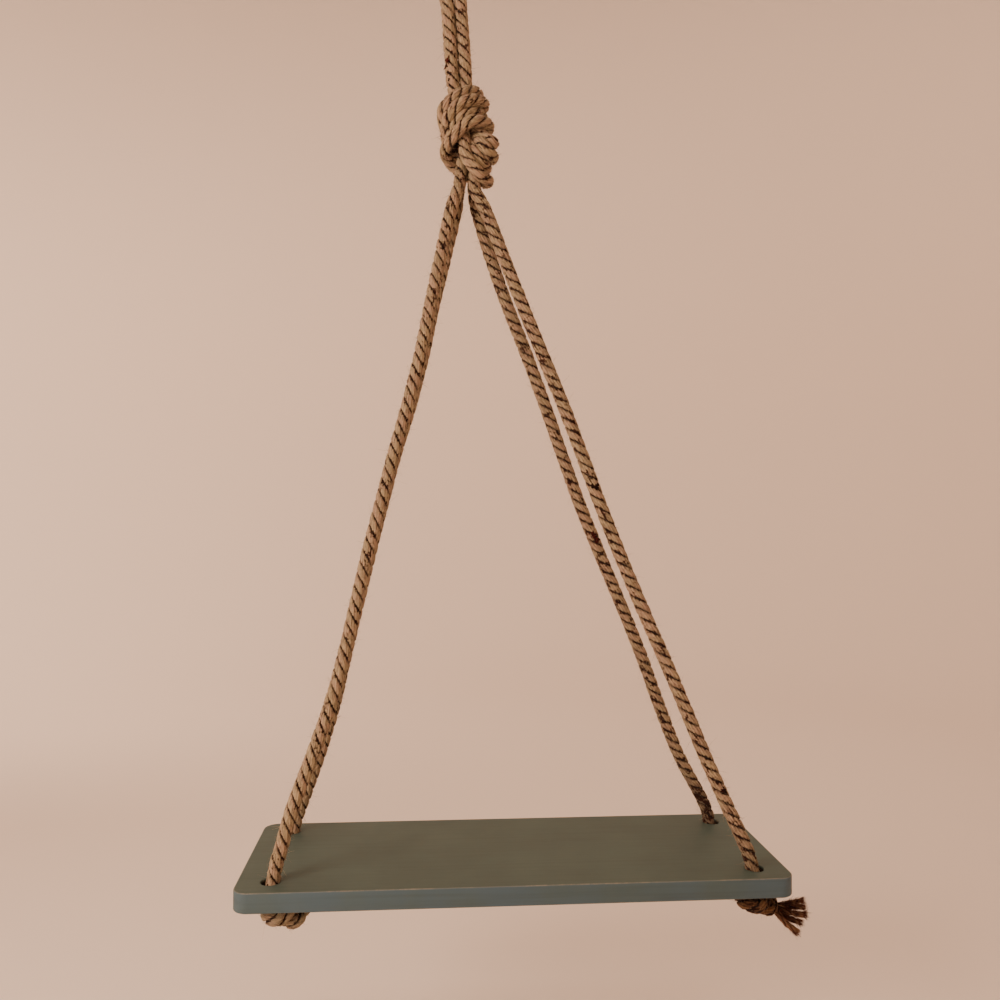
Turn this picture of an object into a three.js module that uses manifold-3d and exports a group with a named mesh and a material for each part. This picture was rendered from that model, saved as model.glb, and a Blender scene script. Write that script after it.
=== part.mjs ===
// A rope hanging shelf: a painted board on two jute ropes, tied together in one knot under the hanging loops.
// Millimetres, +Z up, +Y away from the room. The origin is where the loops bear on the hook.
// The tables below are set out from the middle of the board's top face.

import * as THREE from "three";
import { mergeVertices } from "three/addons/utils/BufferGeometryUtils.js";
import Module from "manifold-3d";

const wasm = await Module();
wasm.setup();

// Driving dimensions.
const BOARD_WIDTH = 500;
const BOARD_DEPTH = 180;
const BOARD_THICKNESS = 18;
const BOARD_CORNER = 14;
const BOARD_EASED_EDGE = 1.2;
const BOARD_CURVE_STEPS = 4;
const HOLE_RADIUS = 8.5;
const HOLE_FROM_SIDE = 30;
const HOLE_FROM_FRONT = 25;
const ROPE_RADIUS = 6.3;
const ROPE_VALLEY = 5.1;
const ROPE_STRANDS = 3;
const ROPE_LAY = 34;
const STEPS_A_TURN = 5;
const KNOT_SQUEEZE = 0.96;
const HOOK = { x: -66, z: 899.7 };
const GAP = 0.3;

const HOLE_X = BOARD_WIDTH / 2 - HOLE_FROM_SIDE;
const HOLE_Y = BOARD_DEPTH / 2 - HOLE_FROM_FRONT;
const RINGS_PER_SPAN = 24;
const KNOT_STRETCHES = 8;

const PAINT = { color: 0x7c8479, roughness: 0.6, metalness: 0 };
const JUTE = { color: 0xa38258, roughness: 0.95, metalness: 0 };

// The two doubled ropes run through the large knot as a bundle of four. Each row is a place on the bundle's
// middle line: its x, y, z, the turn of the bundle's width in degrees from +X towards +Z, the pitch between
// neighbours, and how far the flat band of four is drawn together into two pairs, from 0 to 1.
const KNOT_BUNDLE = [
  { x: -54.7, y: 0, z: 756, turn: 0, pitch: 12.9, drawn: 1 },
  { x: -53.6, y: 1, z: 746, turn: 0, pitch: 12.2, drawn: 1 },
  { x: -49.5, y: 3, z: 727, turn: 0, pitch: 10.5, drawn: 1 },
  { x: -45.5, y: 0, z: 707, turn: 5, pitch: 9.5, drawn: 0.9 },
  { x: -40, y: -9, z: 691, turn: 32, pitch: 8.5, drawn: 0.4 },
  { x: -34.5, y: -17, z: 678.5, turn: 53, pitch: 10, drawn: 0 },
  { x: -29.5, y: -14, z: 672, turn: 68, pitch: 11.3, drawn: 0 },
  { x: -24.5, y: -3, z: 672, turn: 78, pitch: 11.8, drawn: 0 },
  { x: -28, y: 10, z: 674, turn: 84, pitch: 10.5, drawn: 0 },
  { x: -39, y: 17, z: 678, turn: 90, pitch: 8.6, drawn: 0 },
  { x: -53, y: 18.5, z: 685.5, turn: 90, pitch: 7.8, drawn: 0 },
  { x: -62.5, y: 12, z: 690.5, turn: 90, pitch: 7.4, drawn: 0.1 },
  { x: -65.5, y: 1, z: 693.5, turn: 94, pitch: 7.2, drawn: 0.2 },
  { x: -64.5, y: -9.5, z: 699, turn: 108, pitch: 7.6, drawn: 0.2 },
  { x: -60.5, y: -17, z: 708.5, turn: 134, pitch: 8.6, drawn: 0 },
  { x: -53, y: -20, z: 715.5, turn: 124, pitch: 9.4, drawn: 0 },
  { x: -44, y: -17, z: 720, turn: 116, pitch: 10.8, drawn: 0 },
  { x: -35.5, y: -9, z: 723.5, turn: 108, pitch: 11.6, drawn: 0 },
  { x: -31, y: 2, z: 724.5, turn: 102, pitch: 11.4, drawn: 0 },
  { x: -36.5, y: 13, z: 726, turn: 94, pitch: 10, drawn: 0 },
  { x: -48, y: 18, z: 729, turn: 92, pitch: 8, drawn: 0.1 },
  { x: -59, y: 15, z: 721, turn: 125, pitch: 8, drawn: 0.3 },
  { x: -58, y: 10, z: 708, turn: 160, pitch: 9, drawn: 0.8 },
  { x: -50.5, y: 12, z: 694, turn: 178, pitch: 10.5, drawn: 1 },
  { x: -44, y: 10, z: 681, turn: 180, pitch: 11.5, drawn: 1 },
  { x: -45, y: 5, z: 667, turn: 180, pitch: 12.6, drawn: 1 },
  { x: -46.3, y: 1.5, z: 653, turn: 180, pitch: 14, drawn: 1 },
  { x: -46.8, y: 0, z: 641, turn: 180, pitch: 16.6, drawn: 1 },
];

// Where each of the four runs lies across the bundle and through it, in pitches: side by side, and in pairs.
const RUNS = {
  back_right: { flat: { across: -1.5, through: 0.2 }, pairs: { across: -0.5, through: 0.5 } },
  front_right: { flat: { across: -0.5, through: -0.2 }, pairs: { across: -0.5, through: -0.5 } },
  front_left: { flat: { across: 0.5, through: 0.2 }, pairs: { across: 0.5, through: -0.5 } },
  back_left: { flat: { across: 1.5, through: -0.2 }, pairs: { across: 0.5, through: 0.5 } },
};

// Each leg from its hole up to the large knot, as x, y, z. The ropes are stiff and bow a little.
const LEGS = {
  front_left: [
    [-219.2, -64.8, -BOARD_THICKNESS], [-218.7, -64.7, -9], [-217.9, -64.4, 0], [-215.8, -63.7, 12],
    [-211, -62.3, 30], [-201.4, -59, 65], [-185.5, -55, 108], [-170.5, -51, 152], [-158.5, -47, 197],
    [-148.5, -43, 242], [-138.5, -39, 288], [-127, -35, 334], [-115.5, -31, 381], [-102.5, -26.8, 429],
    [-91, -22.5, 478], [-81.5, -18, 527], [-71.5, -13.5, 577], [-60.8, -9.3, 627],
  ],
  back_left: [
    [-219.2, 64.8, -BOARD_THICKNESS], [-218.7, 64.6, -9], [-217.9, 64.2, 0], [-215.2, 63.5, 12],
    [-209, 62, 30], [-192, 58, 79], [-176.5, 53.3, 131], [-165, 48.7, 182], [-153, 44, 234],
    [-141, 39.6, 285], [-128.5, 35, 335], [-115.5, 30.6, 386], [-100.5, 26, 436], [-88, 21.6, 486],
    [-78, 17.2, 535], [-66.5, 12.9, 584], [-56, 8.9, 631],
  ],
  back_right: [
    [219.2, 64.8, -BOARD_THICKNESS], [218.7, 64.6, -9], [217.9, 64.2, 0], [215.2, 63.6, 12],
    [208.5, 62.4, 27], [183, 57.8, 73], [160.5, 52.4, 127], [140, 47, 180], [117.5, 41.9, 233],
    [94.5, 36.7, 285], [72.5, 31.6, 336], [53, 26.6, 387], [34.5, 21.6, 437], [15, 16.8, 487],
    [-5, 12.6, 535], [-23, 10.2, 585], [-36, 8.8, 628],
  ],
  front_right: [
    [219.2, -64.8, -BOARD_THICKNESS], [218.7, -64.7, -9], [217.9, -64.4, 0], [215.1, -63.7, 12],
    [208.5, -62.4, 28], [195.5, -59.4, 57], [176, -55, 102], [157.5, -50.3, 148], [138.5, -45.7, 194],
    [118.5, -41, 241], [99.5, -36.4, 288], [81.5, -31.7, 335], [64.5, -27, 383], [46.5, -22.2, 432],
    [27, -17.4, 481], [7.5, -13.8, 530], [-12, -11, 580], [-29, -9, 624],
  ],
};

// One hanging loop above the large knot: the height over the board's top, how far its middle line leans to
// the side, and half the distance between its two sides. The top is a half circle over the hook.
const LOOP = [
  { z: 794, lean: -57.6, half: 6.45 },
  { z: 828, lean: -60.2, half: 6.5 },
  { z: 842, lean: -61.2, half: 8.2 },
  { z: 855, lean: -62.2, half: 12 },
  { z: 868, lean: -63.2, half: 16.5 },
  { z: 878, lean: -64, half: 19 },
  { z: 886, lean: -64.6, half: 20 },
];
const LOOP_TOP = { z: HOOK.z + ROPE_RADIUS, turns: [30, 60, 90, 120, 150] };
const LOOP_Y = 6.45;

// A stopper knot under the board: an overhand knot, from the rope's way out of the hole to its cut end. The
// columns are the way along the board's width, away from the room and up, from the hole's lower end.
const STOPPER = [
  [0, 0, -6], [2.2, 0, -11], [6, -2.5, -15.8], [11.5, -6, -17], [16.5, -2, -15.5], [16.5, 6, -12],
  [10.5, 11.5, -8.2], [2, 13, -7], [-7, 9.5, -8], [-10.8, 0, -10], [-7.5, -9, -11.5], [0, -13, -11.5],
  [6.5, -9.5, -8.5], [9.5, -1, -8.5],
];
const STOPPER_STRETCHES = 6;

// The rope's end past the stopper knot, and how far the knot sits off its hole to the side and away from the
// room.
const ENDS = {
  front_left: { shift: 8, away: 4, end: [[12, 7, -14.5], [16, 14, -17], [19, 22, -17.5]] },
  back_left: { shift: 2, away: 0, end: [[12, 7, -14.5], [16, 14, -17.5], [17, 22, -18.5]] },
  back_right: { shift: -2, away: 0, end: [[12, 7, -14.5], [15, 14, -17.5], [15, 23, -18]] },
  front_right: { shift: -1.5, away: 0, end: [[12.5, 5, -15], [17, 6, -19], [22.5, 3.5, -20.5]] },
};

// The frayed end at the front right: each yarn's reach to the right, its rise or fall and its way to the back.
const FRAYED_YARNS = [
  { reach: 24, rise: 7, back: -3, thick: 4.2 },
  { reach: 28, rise: -1.5, back: 3, thick: 4.8 },
  { reach: 26, rise: -5, back: -5, thick: 5 },
  { reach: 24.5, rise: -15, back: 2, thick: 4.6 },
  { reach: 19, rise: -21.5, back: -3, thick: 5.6 },
  { reach: 15, rise: -13, back: 7, thick: 4.4 },
];
const FRAYED_ROOT = { length: 4, radius: 5.6, sides: 6 };
const YARN_STEPS = 3;
const YARN_SIDES = 4;
const YARN_TIP_SHARE = 0.75;
const YARN_SAG = 1;

const point = ([x, y, z]) => new THREE.Vector3(x, y, z);
const mix = (a, b, share) => a + (b - a) * share;

// A rope's middle line through its points, with how far along it each point lies.
function middleLine(points) {
  const curve = new THREE.CatmullRomCurve3(points, false, "centripetal");
  const places = curve.getPoints((points.length - 1) * RINGS_PER_SPAN);
  const along = [0];
  for (let i = 1; i < places.length; i++) {
    along.push(along[i - 1] + places[i].distanceTo(places[i - 1]));
  }
  return { places, along, sides: carriedSides(places) };
}

// A side direction for each place of a line, carried along it without turning about it.
function carriedSides(places) {
  const sides = [];
  let side = new THREE.Vector3(0, -1, 0);
  for (let i = 0; i < places.length; i++) {
    const before = places[Math.max(i - 1, 0)];
    const after = places[Math.min(i + 1, places.length - 1)];
    const ahead = after.clone().sub(before).normalize();
    side = side.clone().addScaledVector(ahead, -side.dot(ahead)).normalize();
    sides.push(side);
  }
  return sides;
}

// The place, the way ahead and the side of a line at a distance along it.
function stationAt(line, distance) {
  let i = 1;
  while (i < line.along.length - 1 && line.along[i] < distance) {
    i++;
  }
  const share = (distance - line.along[i - 1]) / (line.along[i] - line.along[i - 1]);
  const place = line.places[i - 1].clone().lerp(line.places[i], share);
  const before = line.places[Math.max(i - 2, 0)];
  const after = line.places[Math.min(i + 1, line.places.length - 1)];
  const ahead = after.clone().sub(before).normalize();
  const side = line.sides[i - 1].clone().lerp(line.sides[i], share);
  side.addScaledVector(ahead, -side.dot(ahead)).normalize();
  return { place, ahead, side };
}

// A closed body between rings of points, each ring with the same number of corners.
function bodyBetween(rings) {
  const corners = rings[0].length;
  const positions = rings.flat().flatMap((p) => [p.x, p.y, p.z]);
  const faces = [];
  for (let r = 0; r < rings.length - 1; r++) {
    for (let c = 0; c < corners; c++) {
      const a = r * corners + c;
      const b = r * corners + ((c + 1) % corners);
      faces.push(a, b, b + corners, a, b + corners, a + corners);
    }
  }
  const last = (rings.length - 1) * corners;
  for (let c = 1; c < corners - 1; c++) {
    faces.push(0, c + 1, c);
    faces.push(last, last + c, last + c + 1);
  }
  const geometry = new THREE.BufferGeometry();
  geometry.setAttribute("position", new THREE.Float32BufferAttribute(positions, 3));
  geometry.setIndex(faces);
  return geometry;
}

// The rope's section at a distance along its line: a crest for each strand and a valley between two,
// turned as the rope is laid, like the middle of an S.
function ropeRing(line, distance, squeeze) {
  const { place, ahead, side } = stationAt(line, distance);
  const other = ahead.clone().cross(side);
  const ring = [];
  for (let c = 0; c < ROPE_STRANDS * 2; c++) {
    const angle = (Math.PI * c) / ROPE_STRANDS - (2 * Math.PI * distance) / ROPE_LAY;
    const radius = (c % 2 ? ROPE_VALLEY : ROPE_RADIUS) * squeeze;
    const offset = side.clone().multiplyScalar(Math.cos(angle) * radius);
    ring.push(place.clone().add(offset.addScaledVector(other, Math.sin(angle) * radius)));
  }
  return ring;
}

// A stretch of rope from one distance along its line to another.
function ropeStretch(line, from, to, squeeze = 1) {
  const steps = Math.max(2, Math.round(((to - from) / ROPE_LAY) * STEPS_A_TURN));
  const rings = [];
  for (let i = 0; i <= steps; i++) {
    rings.push(ropeRing(line, mix(from, to, i / steps), squeeze));
  }
  return bodyBetween(rings);
}

function toSolid(geometry) {
  const bare = geometry.clone();
  bare.deleteAttribute("normal");
  bare.deleteAttribute("uv");
  const merged = mergeVertices(bare);
  return new wasm.Manifold(
    new wasm.Mesh({
      numProp: 3,
      vertProperties: new Float32Array(merged.attributes.position.array),
      triVerts: new Uint32Array(merged.index.array),
    }),
  );
}

function toGeometry(solid) {
  const mesh = solid.getMesh();
  const geometry = new THREE.BufferGeometry();
  geometry.setAttribute("position", new THREE.BufferAttribute(mesh.vertProperties, mesh.numProp));
  geometry.setIndex(new THREE.BufferAttribute(mesh.triVerts, 1));
  return geometry;
}

function joined(geometries) {
  const solid = geometries.map(toSolid).reduce((all, next) => all.add(next));
  return outerSkin(toGeometry(solid));
}

// A body without the hollows that are sealed inside it: only the skin that holds its lowest corner.
function outerSkin(geometry) {
  const places = geometry.attributes.position;
  const index = geometry.index.array;
  const skinOf = Array.from({ length: places.count }, (_, i) => i);
  const find = (i) => {
    while (skinOf[i] !== i) {
      skinOf[i] = skinOf[skinOf[i]];
      i = skinOf[i];
    }
    return i;
  };
  for (let t = 0; t < index.length; t += 3) {
    skinOf[find(index[t + 1])] = find(index[t]);
    skinOf[find(index[t + 2])] = find(index[t]);
  }
  let lowest = 0;
  for (let i = 1; i < places.count; i++) {
    lowest = places.getZ(i) < places.getZ(lowest) ? i : lowest;
  }
  const kept = [];
  for (let t = 0; t < index.length; t += 3) {
    if (find(index[t]) === find(lowest)) {
      kept.push(index[t], index[t + 1], index[t + 2]);
    }
  }
  const skin = new THREE.BufferGeometry();
  skin.setAttribute("position", places);
  skin.setIndex(kept);
  return skin;
}

// A stretch that passes itself, as in a knot, made of shorter stretches end to end.
function knottedStretches(line, from, to, pieces, squeeze) {
  const made = [];
  for (let i = 0; i < pieces; i++) {
    made.push(ropeStretch(line, mix(from, to, i / pieces), mix(from, to, (i + 1) / pieces), squeeze));
  }
  return made;
}

function boardOutline() {
  const x = BOARD_WIDTH / 2;
  const y = BOARD_DEPTH / 2;
  const r = BOARD_CORNER;
  const outline = new THREE.Shape();
  outline.moveTo(-x + r, -y);
  outline.lineTo(x - r, -y);
  outline.absarc(x - r, -y + r, r, -Math.PI / 2, 0);
  outline.lineTo(x, y - r);
  outline.absarc(x - r, y - r, r, 0, Math.PI / 2);
  outline.lineTo(-x + r, y);
  outline.absarc(-x + r, y - r, r, Math.PI / 2, Math.PI);
  outline.lineTo(-x, -y + r);
  outline.absarc(-x + r, -y + r, r, Math.PI, Math.PI * 1.5);
  return outline;
}

function boardGeometry() {
  const outline = boardOutline();
  for (const side of [-1, 1]) {
    for (const end of [-1, 1]) {
      const hole = new THREE.Path();
      hole.absarc(side * HOLE_X, end * HOLE_Y, HOLE_RADIUS, 0, Math.PI);
      hole.absarc(side * HOLE_X, end * HOLE_Y, HOLE_RADIUS, Math.PI, Math.PI * 2);
      outline.holes.push(hole);
    }
  }
  const geometry = new THREE.ExtrudeGeometry(outline, {
    depth: BOARD_THICKNESS - 2 * BOARD_EASED_EDGE,
    bevelThickness: BOARD_EASED_EDGE,
    bevelSize: BOARD_EASED_EDGE,
    bevelOffset: -BOARD_EASED_EDGE,
    bevelSegments: 1,
    curveSegments: BOARD_CURVE_STEPS,
  });
  geometry.translate(0, 0, -BOARD_THICKNESS + BOARD_EASED_EDGE);
  return geometry;
}

// One run's place at each row of the bundle, from the hanging loops down to the legs.
function runThroughKnot(run) {
  return KNOT_BUNDLE.map((row, i) => {
    const before = KNOT_BUNDLE[Math.max(i - 1, 0)];
    const after = KNOT_BUNDLE[Math.min(i + 1, KNOT_BUNDLE.length - 1)];
    const ahead = new THREE.Vector3(after.x - before.x, after.y - before.y, after.z - before.z).normalize();
    const turn = THREE.MathUtils.degToRad(row.turn);
    const across = new THREE.Vector3(Math.cos(turn), 0, Math.sin(turn));
    across.addScaledVector(ahead, -across.dot(ahead)).normalize();
    const through = ahead.clone().cross(across);
    const place = new THREE.Vector3(row.x, row.y, row.z);
    place.addScaledVector(across, mix(run.flat.across, run.pairs.across, row.drawn) * row.pitch);
    return place.addScaledVector(through, mix(run.flat.through, run.pairs.through, row.drawn) * row.pitch);
  });
}

// The points of a loop from its left foot over the hook to its right foot, at one depth.
function loopPoints(y) {
  const left = LOOP.map((row) => new THREE.Vector3(row.lean - row.half, y, row.z));
  const right = LOOP.map((row) => new THREE.Vector3(row.lean + row.half, y, row.z));
  const shoulder = LOOP[LOOP.length - 1];
  const over = LOOP_TOP.turns.map((degrees) => {
    const turn = THREE.MathUtils.degToRad(degrees);
    const lean = mix(shoulder.lean, HOOK.x, Math.sin(turn));
    const height = mix(shoulder.z, LOOP_TOP.z, Math.sin(turn));
    return new THREE.Vector3(lean - shoulder.half * Math.cos(turn), y, height);
  });
  return [...left, ...over, ...right.reverse()];
}

// The stopper knot and cut end of a rope, from the cut end up to the hole.
function stopperPoints(corner) {
  const side = corner.endsWith("left") ? -1 : 1;
  const end = corner.startsWith("front") ? -1 : 1;
  const { shift, away, end: tail } = ENDS[corner];
  const places = [...STOPPER, ...tail].map(([u, v, w], i) => {
    const place = new THREE.Vector3(side * HOLE_X + u, end * HOLE_Y + v, w - BOARD_THICKNESS);
    return i > 0 ? place.add(new THREE.Vector3(shift, away, 0)) : place;
  });
  return places.reverse();
}

// A whole rope's middle line, and where each of its lengths is cut: one stopper knot, its leg, the large knot,
// the loop, the large knot again, the other leg and its stopper knot.
function wholeRope(startCorner, endCorner, loopY) {
  const lengths = {
    startStopper: stopperPoints(startCorner),
    startLeg: LEGS[startCorner].map(point),
    startKnot: runThroughKnot(RUNS[startCorner]).reverse(),
    loop: loopPoints(loopY),
    endKnot: runThroughKnot(RUNS[endCorner]),
    endLeg: LEGS[endCorner].map(point).reverse(),
    endStopper: stopperPoints(endCorner).reverse(),
  };
  const line = middleLine(Object.values(lengths).flat());
  const first = {};
  const last = {};
  let count = 0;
  for (const [name, places] of Object.entries(lengths)) {
    first[name] = line.along[count * RINGS_PER_SPAN];
    count += places.length;
    last[name] = line.along[(count - 1) * RINGS_PER_SPAN];
  }
  return {
    line,
    startStopper: [0, first.startLeg],
    startLeg: [first.startLeg, first.startKnot],
    startKnot: [first.startKnot, last.startKnot],
    loop: [last.startKnot, first.endKnot],
    endKnot: [first.endKnot, last.endKnot],
    endLeg: [last.endKnot, last.endLeg],
    endStopper: [last.endLeg, last.endStopper],
  };
}

// A length of rope that lies by itself, a gap short of what it meets at both ends.
function looseLength(rope, name) {
  const [from, to] = rope[name];
  return ropeStretch(rope.line, from + GAP, to - GAP);
}

// The two runs of one rope in the large knot, as shorter stretches that are joined with the other rope's.
function knotRuns(rope) {
  return ["startKnot", "endKnot"].flatMap((name) =>
    knottedStretches(rope.line, ...rope[name], KNOT_STRETCHES, KNOT_SQUEEZE));
}

// The frayed end: a short root that holds the yarns together, and the yarns spread from it.
function frayedGeometry(root, ahead) {
  const side = new THREE.Vector3(0, 0, 1).addScaledVector(ahead, -ahead.z).normalize();
  const other = ahead.clone().cross(side);
  const around = (centre, radius, sides) => Array.from({ length: sides }, (_, c) => {
    const angle = (2 * Math.PI * c) / sides;
    const offset = side.clone().multiplyScalar(Math.cos(angle) * radius);
    return centre.clone().add(offset.addScaledVector(other, Math.sin(angle) * radius));
  });
  const start = root.clone().addScaledVector(ahead, GAP);
  const finish = start.clone().addScaledVector(ahead, FRAYED_ROOT.length);
  const { radius, sides } = FRAYED_ROOT;
  const backing = bodyBetween([around(start, radius, sides), around(finish, radius, sides)]);
  const yarns = FRAYED_YARNS.map((yarn, i) => {
    const angle = (2 * Math.PI * i) / FRAYED_YARNS.length;
    const spread = radius - yarn.thick / 2 - GAP;
    const foot = start.clone().addScaledVector(ahead, FRAYED_ROOT.length / 2);
    foot.addScaledVector(side, Math.cos(angle) * spread).addScaledVector(other, -Math.sin(angle) * spread);
    const tip = root.clone().add(new THREE.Vector3(yarn.reach, yarn.back, yarn.rise));
    const rings = [];
    for (let step = 0; step <= YARN_STEPS; step++) {
      const share = step / YARN_STEPS;
      const centre = foot.clone().lerp(tip, share);
      centre.z -= YARN_SAG * Math.sin(Math.PI * share);
      rings.push(around(centre, (yarn.thick / 2) * mix(1, YARN_TIP_SHARE, share), YARN_SIDES));
    }
    return bodyBetween(rings);
  });
  return joined([backing, ...yarns]);
}

function addPiece(group, name, geometry, finish) {
  const piece = new THREE.Mesh(geometry, new THREE.MeshStandardMaterial(finish));
  piece.name = name;
  group.add(piece);
}

function addRope(group, rope, startCorner, endCorner, loopName) {
  const { line, startStopper, endStopper } = rope;
  addPiece(group, `leg_${startCorner}`, looseLength(rope, "startLeg"), JUTE);
  addPiece(group, `leg_${endCorner}`, looseLength(rope, "endLeg"), JUTE);
  addPiece(group, loopName, looseLength(rope, "loop"), JUTE);
  const startKnot = knottedStretches(line, startStopper[0], startStopper[1] - GAP, STOPPER_STRETCHES, 1);
  const endKnot = knottedStretches(line, endStopper[0] + GAP, endStopper[1], STOPPER_STRETCHES, 1);
  addPiece(group, `stopper_${startCorner}`, joined(startKnot), JUTE);
  addPiece(group, `stopper_${endCorner}`, joined(endKnot), JUTE);
}

const shelf = new THREE.Group();
shelf.position.set(-HOOK.x, 0, -HOOK.z);

addPiece(shelf, "board", boardGeometry(), PAINT);
const backRope = wholeRope("back_right", "back_left", -LOOP_Y);
const frontRope = wholeRope("front_right", "front_left", LOOP_Y);
addPiece(shelf, "top_knot", joined([...knotRuns(backRope), ...knotRuns(frontRope)]), JUTE);
addRope(shelf, backRope, "back_right", "back_left", "loop_front");
addRope(shelf, frontRope, "front_right", "front_left", "loop_back");

const tailEnd = stationAt(frontRope.line, 0);
addPiece(shelf, "tail_front_right", frayedGeometry(tailEnd.place, tailEnd.ahead.negate()), JUTE);

export default shelf;
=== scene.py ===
"""The looks of a rope hanging shelf: laid jute ropes, their knots and frayed end, and a painted board.

Metres, in the row frame: the origin is where the loops bear on the hook, +Z up, +Y away from the room.
The ropes' tables are set out from the middle of the board's top face, as the solids are.
"""

import math

import bpy
import numpy as np
from mathutils import Matrix, Vector


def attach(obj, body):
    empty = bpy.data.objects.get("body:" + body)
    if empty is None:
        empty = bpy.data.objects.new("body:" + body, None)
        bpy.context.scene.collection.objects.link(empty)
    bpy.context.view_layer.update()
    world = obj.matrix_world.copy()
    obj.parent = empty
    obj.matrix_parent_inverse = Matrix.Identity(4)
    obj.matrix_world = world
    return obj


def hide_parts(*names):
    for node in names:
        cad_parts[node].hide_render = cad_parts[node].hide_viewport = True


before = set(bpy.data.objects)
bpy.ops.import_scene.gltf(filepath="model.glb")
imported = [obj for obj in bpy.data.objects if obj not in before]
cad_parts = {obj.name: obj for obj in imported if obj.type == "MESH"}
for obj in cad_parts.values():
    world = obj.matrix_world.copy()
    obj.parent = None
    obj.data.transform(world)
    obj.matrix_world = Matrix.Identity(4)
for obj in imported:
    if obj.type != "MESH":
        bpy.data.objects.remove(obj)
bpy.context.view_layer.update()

bl_info = {
    "name": "Rope hanging shelf",
    "version": (1, 0, 0),
    "blender": (4, 5, 0),
    "location": "View3D > Sidebar > Shelf",
    "description": "Builds a painted board that hangs from two knotted jute ropes",
    "category": "Add Mesh",
}

BOARD_AT = np.array((0.066, 0.0, -0.8997))
BOARD_THICKNESS = 0.018
HOLE_X, HOLE_Y = 0.22, 0.065
HOOK_X, HOOK_Z = -0.066, 0.8997

# The radius of the solids' rope, how much fuller the laid one is, and where the bits of bark lie on it.
SOLID_RADIUS = 0.0063
LAID_FULLNESS = 1.04
BARK_RADIUS = 0.0062

# The camera: where it stands, and its turn to the right, tilt upwards and roll, in degrees.
CAMERA_AT = (-0.0199, -0.895, -0.5755)
CAMERA_TURNS = (4.70, 1.025, 0.25)

# The lamps: name, place, what it shines at, size and power.
LAMPS = (
    ("lamp_key", (-1.15, -0.95, -0.25), (0.0, 0.0, -0.7), 0.8, 24.0),
    ("lamp_fill", (1.7, -1.5, -0.1), (0.1, 0.0, -0.6), 2.0, 0.4),
    ("lamp_side", (-1.3, 1.2, 0.2), (-1.4, 3.2, -0.5), 1.2, 16.0),
)

# The ring of lamps that lights the backdrop: how many, and the power of those in front and of the others.
BACKDROP_LAMPS, FRONT_POWER, BACK_POWER = 6, 11.0, 17.5
WORLD_STRENGTH = 0.15

# The floor: the radius of its flat middle, the radius of its sweep, its height and its corners round.
FLOOR_FLAT, FLOOR_SWEEP, FLOOR_HEIGHT, FLOOR_CORNERS = 2.0, 1.2, 5.0, 64

# The bundle of four runs through the large knot, from the loops down to the legs: x, y, z of its middle, the
# turn of its width in degrees from +X towards +Z, the pitch between neighbours, and how far the flat band of
# four is drawn together into two pairs.
KNOT_BUNDLE = [
    (-0.0547, 0, 0.756, 0, 0.0129, 1), (-0.0536, 0.001, 0.746, 0, 0.0122, 1),
    (-0.0495, 0.003, 0.727, 0, 0.0105, 1), (-0.0455, 0, 0.707, 5, 0.0095, 0.9),
    (-0.04, -0.009, 0.691, 32, 0.0085, 0.4), (-0.0345, -0.017, 0.6785, 53, 0.01, 0),
    (-0.0295, -0.014, 0.672, 68, 0.0113, 0), (-0.0245, -0.003, 0.672, 78, 0.0118, 0),
    (-0.028, 0.01, 0.674, 84, 0.0105, 0), (-0.039, 0.017, 0.678, 90, 0.0086, 0),
    (-0.053, 0.0185, 0.6855, 90, 0.0078, 0), (-0.0625, 0.012, 0.6905, 90, 0.0074, 0.1),
    (-0.0655, 0.001, 0.6935, 94, 0.0072, 0.2), (-0.0645, -0.0095, 0.699, 108, 0.0076, 0.2),
    (-0.0605, -0.017, 0.7085, 134, 0.0086, 0), (-0.053, -0.02, 0.7155, 124, 0.0094, 0),
    (-0.044, -0.017, 0.72, 116, 0.0108, 0), (-0.0355, -0.009, 0.7235, 108, 0.0116, 0),
    (-0.031, 0.002, 0.7245, 102, 0.0114, 0), (-0.0365, 0.013, 0.726, 94, 0.01, 0),
    (-0.048, 0.018, 0.729, 92, 0.008, 0.1), (-0.059, 0.015, 0.721, 125, 0.008, 0.3),
    (-0.058, 0.01, 0.708, 160, 0.009, 0.8), (-0.0505, 0.012, 0.694, 178, 0.0105, 1),
    (-0.044, 0.01, 0.681, 180, 0.0115, 1), (-0.045, 0.005, 0.667, 180, 0.0126, 1),
    (-0.0463, 0.0015, 0.653, 180, 0.014, 1), (-0.0468, 0, 0.641, 180, 0.0166, 1),
]

# Where each run lies in the bundle, in pitches: across and through it side by side, then in pairs.
RUNS = {
    "back_right": ((-1.5, 0.2), (-0.5, 0.5)),
    "front_right": ((-0.5, -0.2), (-0.5, -0.5)),
    "front_left": ((0.5, 0.2), (0.5, -0.5)),
    "back_left": ((1.5, -0.2), (0.5, 0.5)),
}

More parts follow.
